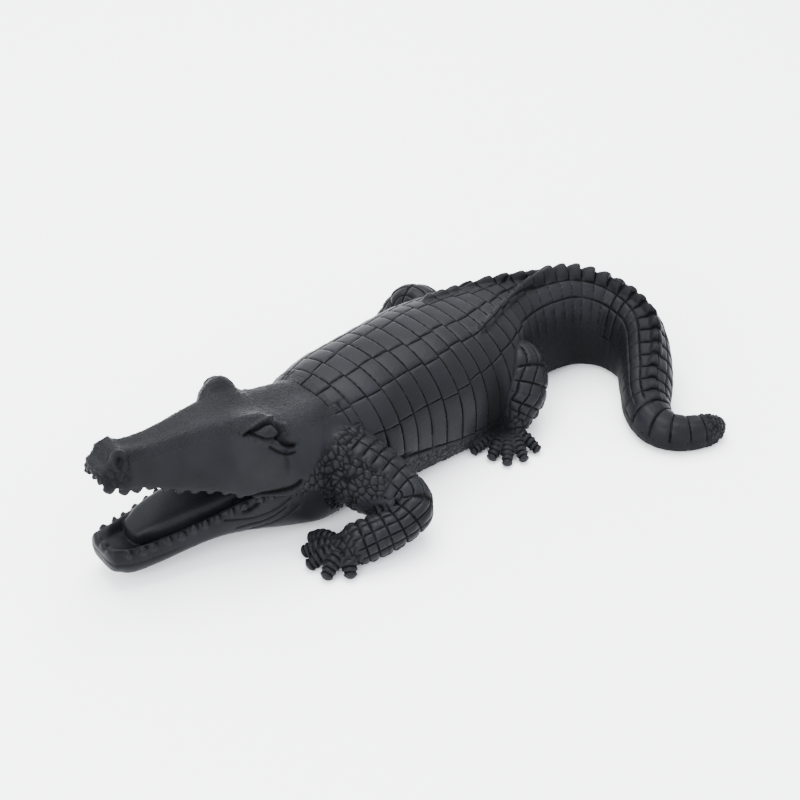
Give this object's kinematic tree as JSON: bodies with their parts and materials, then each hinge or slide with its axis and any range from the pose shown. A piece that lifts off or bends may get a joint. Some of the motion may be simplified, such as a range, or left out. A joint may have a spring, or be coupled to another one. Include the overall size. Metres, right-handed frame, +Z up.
{
  "type": "crocodile sculpture",
  "caption": "Cast crocodile figurine lying low with open toothed jaws, plated ridged back, splayed legs and a tail curled in an S.",
  "frame": {"origin": "on the table, at the centre of the bottom face of the figurine's box", "axes": "+X along the body from the snout towards the tail, +Y towards the animal's right side, +Z up"},
  "size_m": [0.24, 0.13, 0.057],
  "materials": {
    "resin": "satin"
  },
  "bodies": {
    "root": {"crocodile": "resin"}
  },
  "joints": []
}
